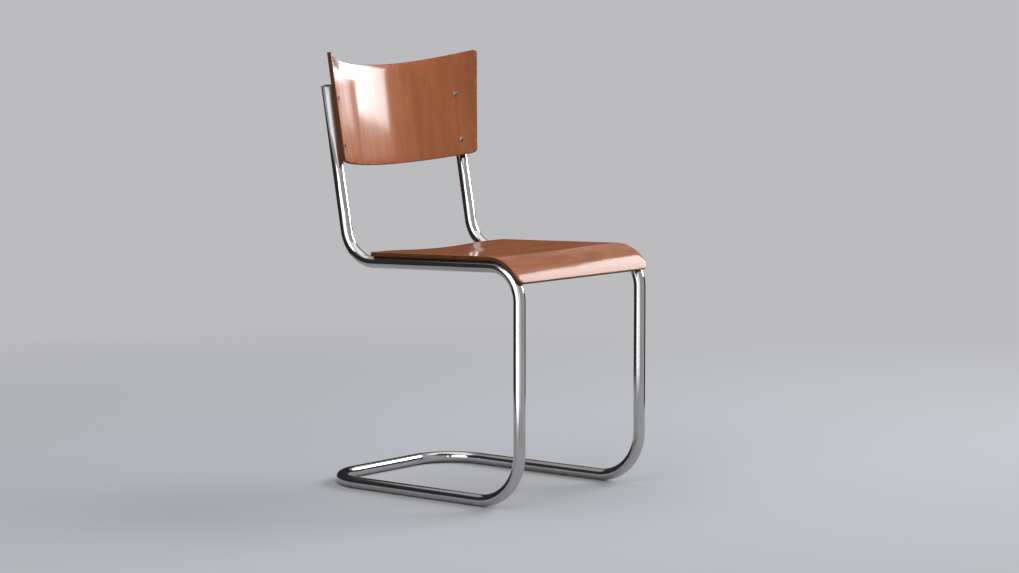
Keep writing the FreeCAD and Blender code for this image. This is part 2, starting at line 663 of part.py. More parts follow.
def make_seat_screw(name, side, distance):
    body = new_body(name)
    profile = new_sketch(body, name + "_profile", "XZ_Plane")
    head_r = V["seat_screw_head_dia"] / 2
    head = V["seat_screw_head"]
    dome_r = (head_r ** 2 + head ** 2) / (2 * head)
    half = math.degrees(math.asin(head_r / dome_r))
    shank = V["seat_screw_dia"] / 2
    tip_z = V["seat_screw_length"]
    cone_z = tip_z - V["seat_screw_tip"]
    blunt = shank / 4
    axis = segment(profile, (0, -head), (0, tip_z))
    tip = segment(profile, (0, tip_z), (blunt, tip_z))
    cone = segment(profile, (blunt, tip_z), (shank, cone_z))
    side_line = segment(profile, (shank, cone_z), (shank, 0))
    under = segment(profile, (shank, 0), (head_r, 0))
    dome = arc(profile, (0, dome_r - head), dome_r, 270, 270 + half)
    for a, b, c, d in ((axis, 2, tip, 1), (tip, 2, cone, 1), (cone, 2, side_line, 1),
                       (side_line, 2, under, 1), (under, 2, dome, 2), (dome, 1, axis, 1)):
        constrain(profile, "Coincident", a, b, c, d)
    constrain(profile, "PointOnObject", axis, 1, -2)
    constrain(profile, "PointOnObject", axis, 2, -2)
    constrain(profile, "PointOnObject", dome, 3, -2)
    constrain(profile, "Horizontal", tip)
    constrain(profile, "Vertical", side_line)
    constrain(profile, "PointOnObject", under, 1, -1)
    constrain(profile, "PointOnObject", under, 2, -1)
    size(profile, "head_radius", "sizes.seat_screw_head_dia / 2", "DistanceX", -1, 1, under, 2, head_r)
    size(profile, "head_height", "sizes.seat_screw_head", "DistanceY", axis, 1, -1, 1, head)
    size(profile, "tip_height", "sizes.seat_screw_length", "DistanceY", -1, 1, axis, 2, tip_z)
    size(profile, "tip_length", "sizes.seat_screw_tip", "DistanceY", side_line, 1, cone, 1, tip_z - cone_z)
    size(profile, "tip_radius", "sizes.seat_screw_dia / 8", "DistanceX", tip, 1, tip, 2, blunt)
    size(profile, "shank_radius", "sizes.seat_screw_dia / 2", "DistanceX", -1, 1, under, 1, shank)
    doc.recompute()
    turned = body.newObject("PartDesign::Revolution", name + "_turned")
    turned.Profile = profile
    turned.ReferenceAxis = (profile, ["V_Axis"])
    turned.Angle = 360
    body.Tip = turned
    body.setExpression("Placement", RAIL_FRAME + " * " + seat_screw_place(
        side, distance, "sizes.seat_screw_level"))
    return body


def make_group(label, maker, places):
    group = doc.addObject("Part::Compound", label)
    group.Links = [
        maker("%s_%s_%s" % (label, side_name, place), side, place)
        for side_name, side in SIDES
        for place in places
    ]
    return group


def make_chair():
    nodes = {"frame_tube": make_frame_tube()}
    nodes["seat_shell"] = make_seat_shell()
    nodes["back_shell"] = make_back_shell()
    nodes["end_plugs"] = make_group("end_plugs", make_end_plug, UPRIGHT_ENDS)
    nodes["back_screws"] = make_group("back_screws", make_back_screw, BACK_SCREWS)
    nodes["seat_screws"] = make_group("seat_screws", make_seat_screw, SEAT_SCREWS)
    doc.recompute()
    return nodes


def check(nodes):
    for item in doc.Objects:
        if "Invalid" in item.State or "Error" in item.State:
            raise RuntimeError("%s failed: %s" % (item.Name, item.State))
    for name, node in nodes.items():
        if node.Shape.isNull() or not node.Shape.isValid():
            raise RuntimeError(name + " has no valid shape")
        if not node.Shape.Solids:
            raise RuntimeError(name + " has no solid")


def write(nodes):
    os.makedirs("parts", exist_ok=True)
    for name, node in nodes.items():
        node.Label = name
        node.Shape.exportStep("parts/%s.step" % name)
        box = node.Shape.BoundBox
        print("%-16s %d solids, %9.0f mm3, x %.1f..%.1f y %.1f..%.1f z %.1f..%.1f" % (
            name, len(node.Shape.Solids), node.Shape.Volume,
            box.XMin, box.XMax, box.YMin, box.YMax, box.ZMin, box.ZMax))


chair = make_chair()
check(chair)
write(chair)
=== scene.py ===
import math
import bmesh
import bpy
from mathutils import Matrix, Quaternion, Vector


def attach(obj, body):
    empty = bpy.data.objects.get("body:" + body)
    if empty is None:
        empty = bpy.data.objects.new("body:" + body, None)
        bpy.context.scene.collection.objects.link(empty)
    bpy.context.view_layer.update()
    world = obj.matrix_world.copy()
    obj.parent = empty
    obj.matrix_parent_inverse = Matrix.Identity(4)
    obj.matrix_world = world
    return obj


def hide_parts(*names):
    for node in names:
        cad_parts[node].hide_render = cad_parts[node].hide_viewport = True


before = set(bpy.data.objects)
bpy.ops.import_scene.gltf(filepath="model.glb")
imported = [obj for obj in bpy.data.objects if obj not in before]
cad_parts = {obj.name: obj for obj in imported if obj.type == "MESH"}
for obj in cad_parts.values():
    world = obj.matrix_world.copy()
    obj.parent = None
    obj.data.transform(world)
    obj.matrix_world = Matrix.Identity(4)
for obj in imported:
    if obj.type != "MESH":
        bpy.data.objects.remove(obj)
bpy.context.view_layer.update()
scene = bpy.context.scene
MM = 0.001

# Sizes of the solids, in millimetres, repeated here for the fine meshes that replace them.
# The tube's runs and bends are measured on its middle line.
TUBE_R = 11.0
WIDTH = 364.0
DEPTH = 482.0
RAIL_Z = 440.0
RAIL_LENGTH = 404.0
SLOPE = math.radians(1.5)
LEAN = math.radians(10)
UPRIGHT = 331.0
BENDS = {"upright": 68.0, "knee": 61.0, "floor": 92.0, "corner": 92.0}
REST = 0.3
SEAT_PLY = 8.0
BACK_PLY = 7.5
BACK_R = 304.0
BACK_HIGH = 375.5

# What follows from them: how far the back's bend axis lies in front of the uprights, how far the back
# reaches behind the corner of rail and upright, and the front legs' place, with the origin under the middle
# of the whole depth.
BACK_AXIS = math.sqrt((BACK_R + BACK_PLY + REST + TUBE_R) ** 2 - (WIDTH / 2) ** 2)
REACH = BACK_HIGH * math.sin(LEAN) + (BACK_R + BACK_PLY - BACK_AXIS) * math.cos(LEAN)
LEG_Y = -((TUBE_R + RAIL_LENGTH + REACH) / 2 - TUBE_R)
BAR_Y = LEG_Y + DEPTH
CORNER = Vector((0, LEG_Y + RAIL_LENGTH, RAIL_Z - RAIL_LENGTH * math.tan(SLOPE)))
RAIL_FRAME = Matrix.Translation((0, LEG_Y, RAIL_Z)) @ Matrix.Rotation(-SLOPE, 4, "X")
UPRIGHT_FRAME = Matrix.Translation(CORNER) @ Matrix.Rotation(-LEAN, 4, "X")


# Points that are closer than this, in metres, are one point.
SAME_POINT = 1e-6


def new_object(name, verts, faces, places=()):
    """A closed smooth mesh from points in millimetres.

    places gives each point's u, w and depth on its board, and its distance from the edge.
    """
    mesh = bpy.data.meshes.new(name)
    mesh.from_pydata([Vector(v) * MM for v in verts], [], faces)
    mesh.update()
    if places:
        spots = [c * MM for *spot, from_edge in places for c in spot]
        mesh.attributes.new("board_place", "FLOAT_VECTOR", "POINT").data.foreach_set("vector", spots)
        distances = [from_edge * MM for *spot, from_edge in places]
        mesh.attributes.new("from_edge", "FLOAT", "POINT").data.foreach_set("value", distances)
    bm = bmesh.new()
    bm.from_mesh(mesh)
    bmesh.ops.remove_doubles(bm, verts=bm.verts, dist=SAME_POINT)
    bmesh.ops.recalc_face_normals(bm, faces=bm.faces)
    bm.to_mesh(mesh)
    bm.free()
    mesh.polygons.foreach_set("use_smooth", [True] * len(mesh.polygons))
    obj = bpy.data.objects.new(name, mesh)
    scene.collection.objects.link(obj)
    return obj


# Tube

# A little thinner than the solid, so that it stays inside the box of the solid's facets.
TUBE_SKIN = 10.96
TUBE_SIDES = 72
BEND_STEP = math.radians(3)


def rounded_path(corners, radii):
    """Points along straight runs and tangent arcs through the given corners."""
    points = [corners[0]]
    for before, corner, after, radius in zip(corners, corners[1:], corners[2:], radii):
        to_last = (before - corner).normalized()
        to_next = (after - corner).normalized()
        turn = math.pi - to_last.angle(to_next)
        cut = radius * math.tan(turn / 2)
        centre = corner + (to_last + to_next).normalized() * radius / math.cos(turn / 2)
        start = corner + to_last * cut - centre
        axis = start.cross(corner + to_next * cut - centre).normalized()
        count = math.ceil(turn / BEND_STEP)
        for i in range(count + 1):
            points.append(centre + Matrix.Rotation(turn * i / count, 3, axis) @ start)
    points.append(corners[-1])
    return points


def sweep(name, points, radius, around):
    """A round bar along the points, closed at both ends, its section carried along without twist."""
    last = len(points) - 1
    tangents = [(points[min(i + 1, last)] - points[max(i - 1, 0)]).normalized() for i in range(last + 1)]
    side = tangents[0].orthogonal().normalized()
    verts = []
    for i, p in enumerate(points):
        if i:
            side = tangents[i - 1].rotation_difference(tangents[i]) @ side
            side = (side - tangents[i] * side.dot(tangents[i])).normalized()
        other = tangents[i].cross(side)
        for k in range(around):
            angle = 2 * math.pi * k / around
            verts.append(p + radius * (math.cos(angle) * side + math.sin(angle) * other))
    faces = []
    for i in range(last):
        for k in range(around):
            n = (k + 1) % around
            faces.append((i * around + k, i * around + n, (i + 1) * around + n, (i + 1) * around + k))
    faces.append(tuple(range(around - 1, -1, -1)))
    faces.append(tuple(range(last * around, (last + 1) * around)))
    return new_object(name, verts, faces)


def make_tube():
    half = WIDTH / 2
    top = CORNER + Vector((0, math.sin(LEAN), math.cos(LEAN))) * UPRIGHT
    side = [
        Vector((0, top.y, top.z)),
        CORNER,
        Vector((0, LEG_Y, RAIL_Z)),
        Vector((0, LEG_Y, TUBE_R)),
        Vector((0, BAR_Y, TUBE_R)),
    ]
    left = [p + Vector((-half, 0, 0)) for p in side]
    right = [p + Vector((half, 0, 0)) for p in reversed(side)]
    radii = [BENDS[k] for k in ("upright", "knee", "floor", "corner")]
    path = rounded_path(left + right, radii + radii[::-1])
    obj = sweep("chrome_tube", path, TUBE_SKIN, TUBE_SIDES)
    for polygon in obj.data.polygons:
        # The two flat ends are the only faces with more than four corners.
        if len(polygon.vertices) > 4:
            polygon.use_smooth = False
    return obj


# Boards
# A board is sliced from its flat outline, rounded at the rim, and laid on its curved surface.
# On the flat, u runs along the seat or across the back, and w along the grain.

RIM = 1.2
FILLET_STEPS = 10


def slice_outline(outline, us):
    """For each u, the lowest and highest w at which the line crosses the closed outline."""
    spans = []
    for u in us:
        hits = []
        for (u0, w0), (u1, w1) in zip(outline, outline[1:] + outline[:1]):
            if (u0 - u) * (u1 - u) <= 0 and u0 != u1:
                hits.append(w0 + (w1 - w0) * (u - u0) / (u1 - u0))
        spans.append((min(hits), max(hits)))
    return spans


def outward_normals(points):
    """For each point of a closed outline, the unit normal that points away from the outline's middle."""
    middle = sum(points, Vector((0, 0))) / len(points)
    normals = []
    for k, p in enumerate(points):
        along = points[(k + 1) % len(points)] - points[k - 1]
        normal = Vector((along.y, -along.x)).normalized() if along.length else (p - middle).normalized()
        normals.append(normal if normal.dot(p - middle) > 0 else -normal)
    return normals


def distance_to_edge(point, sides):
    nearest = math.inf
    for start, end in sides:
        run = end - start
        along = min(1, max(0, (point - start).dot(run) / max(run.length_squared, 1e-9)))
        nearest = min(nearest, (point - start - run * along).length)
    return nearest


def rim_profile(thickness):
    """Steps down the rounded rim, each as how far it stands out and how deep it lies."""
    turns = [math.radians(a) for a in (30, 60, 90)]
    upper = [(RIM * math.sin(t), RIM * (1 - math.cos(t))) for t in turns]
    lower = [(RIM * math.cos(t), thickness - RIM * (1 - math.sin(t))) for t in turns[:-1]]
    return upper + [(RIM, thickness - RIM)] + lower


def board(name, outline, us, across, thickness, place):
    """place(u, w, depth) gives the point of the board, with depth 0 on its upper or front face."""
    columns = []
    for low, high in slice_outline(outline, us):
        columns.append([low + (high - low) * j / across for j in range(across + 1)])
    loop = [(i, 0) for i in range(len(us))]
    loop += [(len(us) - 1, j) for j in range(1, across + 1)]
    loop += [(i, across) for i in range(len(us) - 2, -1, -1)]
    loop += [(0, j) for j in range(across - 1, 0, -1)]
    flat = [Vector((us[i], columns[i][j])) for i, j in loop]
    sides = list(zip(flat, flat[1:] + flat[:1]))
    normals = outward_normals(flat)
    verts, faces, places = [], [], []

    def face_grid(depth, flip):
        """Adds the upper or lower face and returns the points along its edge."""
        start = len(verts)
        for u, column in zip(us, columns):
            for w in column:
                verts.append(place(u, w, depth))
                places.append((u, w, depth, distance_to_edge(Vector((u, w)), sides)))
        row = across + 1
        for i in range(len(us) - 1):
            for j in range(across):
                quad = (start + i * row + j, start + (i + 1) * row + j,
                        start + (i + 1) * row + j + 1, start + i * row + j + 1)
                faces.append(quad[::-1] if flip else quad)
        return [start + i * row + j for i, j in loop]

    rings = [face_grid(0, False)]
    for out, depth in rim_profile(thickness):
        start = len(verts)
        for p, normal in zip(flat, normals):
            q = p + normal * out
            verts.append(place(q.x, q.y, depth))
            places.append((q.x, q.y, depth, 0))
        rings.append(list(range(start, start + len(flat))))
    rings.append(face_grid(thickness, True))
    for a, b in zip(rings, rings[1:]):
        for k in range(len(loop)):
            n = (k + 1) % len(loop)
            faces.append((a[k], a[n], b[n], b[k]))
    return new_object(name, verts, faces, places)


def fillet(points, corner, radius):
    """The arc that rounds the outline at the given point, and how much of its two sides it cuts away."""
    p = Vector(points[corner])
    to_last = (Vector(points[corner - 1]) - p).normalized()
    to_next = (Vector(points[(corner + 1) % len(points)]) - p).normalized()
    turn = math.pi - to_last.angle(to_next)
    cut = radius * math.tan(turn / 2)
    centre = p + (to_last + to_next).normalized() * radius / math.cos(turn / 2)
    start = p + to_last * cut - centre
    end = p + to_next * cut - centre
    arc = []
    for i in range(FILLET_STEPS + 1):
        t = i / FILLET_STEPS
        mix = start.normalized() * math.sin((1 - t) * turn) + end.normalized() * math.sin(t * turn)
        arc.append(tuple(centre + mix / math.sin(turn) * radius))
    return arc, cut


def rounded_outline(points, corners):
    """corners maps a point's index to its radius; points inside a corner's cut are dropped."""
    arcs = {i: fillet(points, i, r) for i, r in corners.items()}
    out = []
    for i, p in enumerate(points):
        if i in arcs:
            out.extend(arcs[i][0])
        elif all((Vector(p) - Vector(points[c])).length > cut for c, (arc, cut) in arcs.items()):
            out.append(p)
    return out


def inset(outline, amount):
    points = [Vector(p) for p in outline]
    return [tuple(p - normal * amount) for p, normal in zip(points, outward_normals(points))]


def spaced(low, high, count, extra):
    """Places from low to high, closest near both ends, with the extra ones between them put in."""
    even = [low + (high - low) * (1 - math.cos(math.pi * i / count)) / 2 for i in range(count + 1)]
    return sorted({round(u, 5) for u in even + [e for e in extra if low < e < high]})


SEAT_WIDTH = 392.0
SEAT_STOP = 1.0
LIP_WRAP = math.radians(65)
LIP_CORNER = 12.0
REAR_CORNER = 6.0
SEAT_SLICES = 90
SEAT_STEPS = 48
# The seat sags between its sides, from DISH_START along it and most at its rear edge.
DISH = 4.5
DISH_HALF = 165.0
DISH_START = -20.0


def make_seat():
    """The seat bends with the knees, wraps over them as a lip, and ends SEAT_STOP before the rear bends."""
    inner = BENDS["knee"] + TUBE_R + REST
    outer = inner + SEAT_PLY
    centre = Vector((BENDS["knee"] * math.tan(math.pi / 4 + SLOPE / 2), -BENDS["knee"]))
    tail = (RAIL_LENGTH / math.cos(SLOPE) - SEAT_STOP
            - BENDS["upright"] * math.tan(math.pi / 4 - LEAN / 2 + SLOPE / 2))
    flat = tail - centre.x
    lip = outer * LIP_WRAP
    half = SEAT_WIDTH / 2

    def place(u, w, depth):
        # u runs along the top face, from the lip (negative) to the tail.
        if u >= 0:
            y, z = centre.x + u, centre.y + outer - depth
        else:
            angle = -u / outer
            y = centre.x - (outer - depth) * math.sin(angle)
            z = centre.y + (outer - depth) * math.cos(angle)
        if abs(w) < DISH_HALF and u > DISH_START:
            sag = (1 - (w / DISH_HALF) ** 2) ** 2
            along = min(1, max(0, (u - DISH_START) / (flat - DISH_START)))
            z -= DISH * sag * along * along * (3 - 2 * along)
        return RAIL_FRAME @ Vector((w, y, z))

    corners = [(-lip, -half), (flat, -half), (flat, half), (-lip, half)]
    # The lip's corner is measured on the lower face, and the outline lies on the longer upper one.
    lip_corner = LIP_CORNER / (inner / outer)
    radii = {0: lip_corner, 1: REAR_CORNER, 2: REAR_CORNER, 3: lip_corner}
    outline = inset(rounded_outline(corners, radii), RIM)
    low = min(p[0] for p in outline)
    high = max(p[0] for p in outline)
    us = spaced(low, high, SEAT_SLICES, [0])
    return board("seat_board", outline, us, SEAT_STEPS, SEAT_PLY, place)


# The back's lower and upper edges are arcs, each at its level in the middle and higher by its rise at its
# ends. Levels are measured along the uprights, from where they would meet the rails.
BACK_LOW = 181.2
LOW_RISE = 6.3
HIGH_RISE = 14.7
LOW_HALF = 193.0
HIGH_HALF = 213.25
LOW_CORNER = 9.0
HIGH_CORNER = 6.5
EDGE_STEPS = 24
BACK_SLICES = 140
BACK_STEPS = 12


def edge_arc(half, level, rise):
    """Points along one edge of the back, from end to end."""
    radius = (half * half + rise * rise) / (2 * rise)
    xs = [half * (2 * i / EDGE_STEPS - 1) for i in range(EDGE_STEPS + 1)]
    return [(x, level + radius - math.sqrt(radius * radius - x * x)) for x in xs]


def make_back():
    bottom = edge_arc(LOW_HALF, BACK_LOW, LOW_RISE)
    top = edge_arc(HIGH_HALF, BACK_HIGH, HIGH_RISE)[::-1]
    points = bottom + top
    last = len(bottom) - 1
    corners = {0: LOW_CORNER, last: LOW_CORNER, last + 1: HIGH_CORNER, len(points) - 1: HIGH_CORNER}
    outline = inset(rounded_outline(points, corners), RIM)

    def place(u, w, depth):
        angle = math.asin(u / BACK_R)
        r = BACK_R + depth
        return UPRIGHT_FRAME @ Vector((r * math.sin(angle), -BACK_AXIS + r * math.cos(angle), w))

    # The first and last slice lie just inside the outline's ends, so that both cross it.
    margin = 0.02
    low = min(p[0] for p in outline) + margin
    high = max(p[0] for p in outline) - margin
    us = spaced(low, high, BACK_SLICES, [p[0] for p in outline])
    return board("back_board", outline, us, BACK_STEPS, BACK_PLY, place)


tube = make_tube()
seat = make_seat()
back = make_back()
for obj, node, slot in (
        (tube, "frame_tube", "frame_steel"),
        (seat, "seat_shell", "plywood"),
        (back, "back_shell", "plywood")):
    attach(obj, "root")
    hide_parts(node)


# Materials

class Nodes:
    """A material's node tree, with short calls for the nodes that it uses."""

    def __init__(self, name):
        self.material = bpy.data.materials.new(name)
        self.material.use_nodes = True
        self.tree = self.material.node_tree
        self.tree.nodes.clear()
        self.out = self.tree.nodes.new("ShaderNodeOutputMaterial")
        self.shader = self.tree.nodes.new("ShaderNodeBsdfPrincipled")
        self.link(self.shader.outputs[0], self.out.inputs[0])
        self.coords = self.tree.nodes.new("ShaderNodeTexCoord").outputs["Object"]

    def link(self, a, b):
        self.tree.links.new(a, b)

    def put(self, socket, value):
        if isinstance(value, bpy.types.NodeSocket):
            self.link(value, socket)
        else:
            socket.default_value = value

    def attribute(self, name, output):
        node = self.tree.nodes.new("ShaderNodeAttribute")
        node.attribute_name = name
        return node.outputs[output]

    def mapped(self, vector, *scale):
        """Stretches the vector, so that a noise of scale 1 has so many waves a metre along each axis."""
        node = self.tree.nodes.new("ShaderNodeMapping")
        node.inputs["Scale"].default_value = scale
        self.link(vector, node.inputs["Vector"])
        return node.outputs[0]

    def axis(self, vector, name):
        node = self.tree.nodes.new("ShaderNodeSeparateXYZ")
        self.link(vector, node.inputs[0])
        return node.outputs[name]

    def noise(self, vector, scale, detail=4.0, roughness=0.5, distortion=0.0):
        node = self.tree.nodes.new("ShaderNodeTexNoise")
        self.put(node.inputs["Vector"], vector)
        node.inputs["Scale"].default_value = scale
        node.inputs["Detail"].default_value = detail
        node.inputs["Roughness"].default_value = roughness
        node.inputs["Distortion"].default_value = distortion
        return node.outputs["Fac"]

    def ramp(self, value, *stops):
        """Each stop is a place and a colour or grey."""
        node = self.tree.nodes.new("ShaderNodeValToRGB")
        self.put(node.inputs[0], value)
        items = node.color_ramp.elements
        while len(items) < len(stops):
            items.new(0.5)
        for item, (place, colour) in zip(items, stops):
            item.position = place
            item.color = (*colour, 1) if isinstance(colour, tuple) else (colour, colour, colour, 1)
        return node.outputs[0]

    def mix(self, share, a, b):
        node = self.tree.nodes.new("ShaderNodeMix")
        node.data_type = "RGBA"
        self.put(node.inputs[0], share)
        for socket, colour in ((node.inputs[6], a), (node.inputs[7], b)):
            self.put(socket, colour if isinstance(colour, bpy.types.NodeSocket) else (*colour, 1))
        return node.outputs[2]

    def math(self, kind, a, b=0.0, c=0.0):
        node = self.tree.nodes.new("ShaderNodeMath")
        node.operation = kind
        for socket, value in zip(node.inputs, (a, b, c)):
            self.put(socket, value)
        return node.outputs[0]

    def times(self, a, b):
        return self.math("MULTIPLY", a, b)

    def bump(self, height, strength, distance, below=None):
        node = self.tree.nodes.new("ShaderNodeBump")
        node.inputs["Strength"].default_value = strength
        node.inputs["Distance"].default_value = distance
        self.put(node.inputs["Height"], height)
        if below is not None:
            self.link(below, node.inputs["Normal"])
        return node.outputs[0]

    def set(self, **values):
        """Sets or links the shader's sockets, named with _ for each space."""
        for name, value in values.items():
            self.put(self.shader.inputs[name.replace("_", " ")], value)


# Lengths in a material are metres until they are multiplied by one of these.
PER_CM = 100.0
PER_MM = 1000.0

TUBE_PLATE = (0.56, 0.545, 0.545)
SCREW_PLATE = (0.30, 0.265, 0.21)
AGEING = (0.86, 0.82, 0.77)
SCUFFED = (0.22, 0.19, 0.16)
PITTED = (0.10, 0.065, 0.04)
POLISH = 0.06


def chrome(name, base, dull, specks):
    """Plated metal, clouded by age and finely grained, with dark pinholes, and with scuffs near the floor.

    dull is the roughness that the clouds add to POLISH. A pinhole lies where a noise rises above specks.
    """
    n = Nodes(name)
    clouds = n.noise(n.coords, 9.0, detail=5.0, roughness=0.6)
    fine = n.noise(n.coords, 900.0, detail=3.0, roughness=0.6)
    spots = n.noise(n.coords, 190.0, detail=5.0, roughness=0.75, distortion=0.3)
    speck = n.ramp(spots, (specks, 0.0), (specks + 0.05, 1.0))
    low = n.ramp(n.times(n.axis(n.coords, "Z"), PER_CM), (0.15, 1.0), (0.75, 0.0))
    patches = n.noise(n.coords, 140.0, detail=6.0, roughness=0.7)
    scuff = n.times(low, n.ramp(patches, (0.42, 0.0), (0.6, 1.0)))
    aged = tuple(c * f for c, f in zip(base, AGEING))
    colour = n.mix(n.ramp(clouds, (0.35, 0.0), (0.75, 1.0)), base, aged)
    colour = n.mix(n.times(scuff, 0.6), colour, SCUFFED)
    colour = n.mix(speck, colour, PITTED)
    rough = n.math("MULTIPLY_ADD", n.ramp(clouds, (0.3, 0.0), (0.8, 1.0)), dull, POLISH)
    rough = n.math("MAXIMUM", rough, n.times(speck, 0.6))
    rough = n.math("MAXIMUM", rough, n.times(scuff, 0.45))
    pits = n.bump(n.math("SUBTRACT", 1.0, speck), strength=0.3, distance=0.0002)
    n.set(Base_Color=colour, Metallic=1.0, Roughness=rough,
          Normal=n.bump(fine, strength=0.03, distance=0.0004, below=pits))
    return n.material


BACK_WARM = (0.46, 0.125, 0.026)
BACK_DEEP = (0.35, 0.080, 0.018)
SEAT_WARM = (0.35, 0.098, 0.024)
SEAT_DEEP = (0.255, 0.063, 0.016)
WORN = (0.58, 0.210, 0.060)
# Tone of the darker band along the boards' edges.
EDGE_DARK = (0.085, 0.033, 0.015)
# Tone that the lower or rear face of a board darkens towards.
FAR_FACE_TONE = (0.05, 0.018, 0.008)
LAYER_STAIN = (0.04, 0.018, 0.009)
FIBRE_SHADE = 0.62
PORE_SHADE = 0.45
WAVE_HEIGHT = 0.0007
# The layers at a board's edge, each at its share of the thickness below the upper or front face.
LAYERS = (
    (0.00, (0.20, 0.080, 0.024)),
    (0.20, (0.075, 0.030, 0.011)),
    (0.36, (0.20, 0.080, 0.025)),
    (0.50, (0.07, 0.028, 0.011)),
    (0.64, (0.18, 0.070, 0.022)),
    (0.82, (0.045, 0.018, 0.008)),
    (1.00, (0.09, 0.036, 0.013)),
)


def veneer(n, place, fibre, pores, warm, deep):
    """Colour of the face veneer: broad bands, flame and soft clouds, with darker fibre and pores."""
    bands = n.noise(n.mapped(place, 16, 1.6, 16), 1.0, detail=3.0, roughness=0.5, distortion=0.5)
    flame = n.noise(n.mapped(place, 34, 5, 34), 1.0, detail=4.0, roughness=0.55, distortion=1.1)
    clouds = n.noise(n.mapped(place, 7, 7, 7), 1.0, detail=3.0, roughness=0.5)
    dark_fibre = tuple(c * FIBRE_SHADE for c in deep)
    dark_pore = tuple(c * PORE_SHADE for c in deep)
    colour = n.mix(n.ramp(bands, (0.32, 0.0), (0.68, 1.0)), warm, deep)
    colour = n.mix(n.times(n.ramp(flame, (0.4, 0.0), (0.7, 1.0)), 0.45), colour, WORN)
    colour = n.mix(n.times(n.ramp(fibre, (0.38, 0.0), (0.72, 1.0)), 0.30), colour, dark_fibre)
    colour = n.mix(n.times(n.ramp(clouds, (0.4, 0.0), (0.75, 1.0)), 0.35), colour, deep)
    return n.mix(n.times(pores, 0.35), colour, dark_pore)


def ply_layers(n, place, depth):
    """Colour of the sawn edge, stained in patches."""
    stain = n.ramp(n.noise(place, 45.0, detail=4.0, roughness=0.6), (0.35, 0.0), (0.7, 1.0))
    return n.mix(n.times(stain, 0.5), n.ramp(depth, *LAYERS), LAYER_STAIN)


def varnish_height(n, place, bow, middle):
    """Height of the varnish: slight waves, and a bow that falls off above and below the middle level."""
    wave = n.noise(n.mapped(place, 15, 6, 15), 1.0, detail=2.5, roughness=0.45, distortion=0.4)
    level = n.math("SUBTRACT", n.axis(place, "Y"), middle)
    return n.math("MULTIPLY_ADD", n.times(level, level), -bow, n.times(wave, WAVE_HEIGHT))


def varnished_wood(name, thickness, warm, deep, far_face_dark, roughness, specular, coat, coat_roughness,
                   bow=0.0, middle=0.0):
    """Face veneer with its grain along w, layered ply at the edge, and a slightly wavy varnish on top.

    The fourth argument sets how much darker the lower or rear face is. bow, per metre, and middle, in
    metres, shape the varnish alone.
    """
    n = Nodes(name)
    place = n.attribute("board_place", "Vector")
    edge = n.attribute("from_edge", "Fac")
    depth = n.math("DIVIDE", n.axis(place, "Z"), thickness * MM)
    side = n.ramp(depth, (0.03, 0.0), (0.10, 1.0), (0.90, 1.0), (0.97, 0.0))
    fibre = n.noise(n.mapped(place, 520, 22, 520), 1.0, detail=5.0, roughness=0.6, distortion=0.3)
    strokes = n.noise(n.mapped(place, 1500, 110, 1500), 1.0, detail=3.0, roughness=0.6)
    pores = n.ramp(strokes, (0.62, 0.0), (0.72, 1.0))

    near = n.ramp(n.times(edge, PER_CM), (0.0, 1.0), (0.9, 0.0))
    wear = n.math("ADD", n.noise(place, 95.0, detail=5.0, roughness=0.65), n.times(near, 0.16))
    rubbed = n.times(n.ramp(wear, (0.64, 0.0), (0.70, 1.0)), near)
    # Darker within 0.8 mm of the outline and on the rounded rim.
    edge_dark = n.ramp(n.times(edge, PER_MM), (0.0, 1.0), (0.8, 0.0))
    colour = veneer(n, place, fibre, pores, warm, deep)
    colour = n.mix(n.times(rubbed, 0.7), colour, WORN)
    colour = n.mix(n.times(edge_dark, 0.55), colour, EDGE_DARK)
    # The lower or rear face is darker, by the share that the fourth argument gives.
    colour = n.mix(n.ramp(depth, (0.5, 0.0), (0.98, 1.0)), colour, n.mix(far_face_dark, colour, FAR_FACE_TONE))
    colour = n.mix(side, colour, ply_layers(n, place, depth))

    rough = n.math("MULTIPLY_ADD", n.ramp(fibre, (0.3, 0.0), (0.8, 1.0)), 0.10, roughness)
    rough = n.math("MAXIMUM", rough, n.times(rubbed, 0.62))
    rough = n.math("MAXIMUM", rough, n.times(side, 0.6))
    saw = n.noise(n.mapped(place, 300, 300, 2600), 1.0, detail=3.0, roughness=0.6)
    face_relief = n.math("SUBTRACT", fibre, n.times(pores, 0.4))
    relief = n.math("MULTIPLY_ADD", side, n.times(saw, 0.8), face_relief)
    bare = n.math("MAXIMUM", side, n.times(rubbed, 0.6))
    n.set(Base_Color=colour, Roughness=rough, Specular_IOR_Level=specular,
          Normal=n.bump(relief, strength=0.06, distance=0.0005))
    n.set(Coat_Weight=n.times(n.math("SUBTRACT", 1.0, bare), coat), Coat_Roughness=coat_roughness,
          Coat_Normal=n.bump(varnish_height(n, place, bow, middle), strength=1.0, distance=1.0))
    return n.material


CAP_DARK = (0.012, 0.012, 0.013)
CAP_LIGHT = (0.03, 0.029, 0.028)
CAP_WORN = (0.10, 0.098, 0.095)


def dull_plastic(name):
    """Black plastic, faintly mottled, with a fine grain and greyer worn spots."""
    n = Nodes(name)
    grain = n.noise(n.coords, 700.0, detail=3.0)
    tone = n.mix(n.noise(n.coords, 40.0), CAP_DARK, CAP_LIGHT)
    worn = n.ramp(n.noise(n.coords, 260.0, detail=5.0, roughness=0.7), (0.6, 0.0), (0.75, 1.0))
    n.set(Base_Color=n.mix(n.times(worn, 0.5), tone, CAP_WORN),
          Roughness=n.ramp(grain, (0.3, 0.42), (0.7, 0.6)),
          Normal=n.bump(grain, strength=0.1, distance=0.0002))
    return n.material


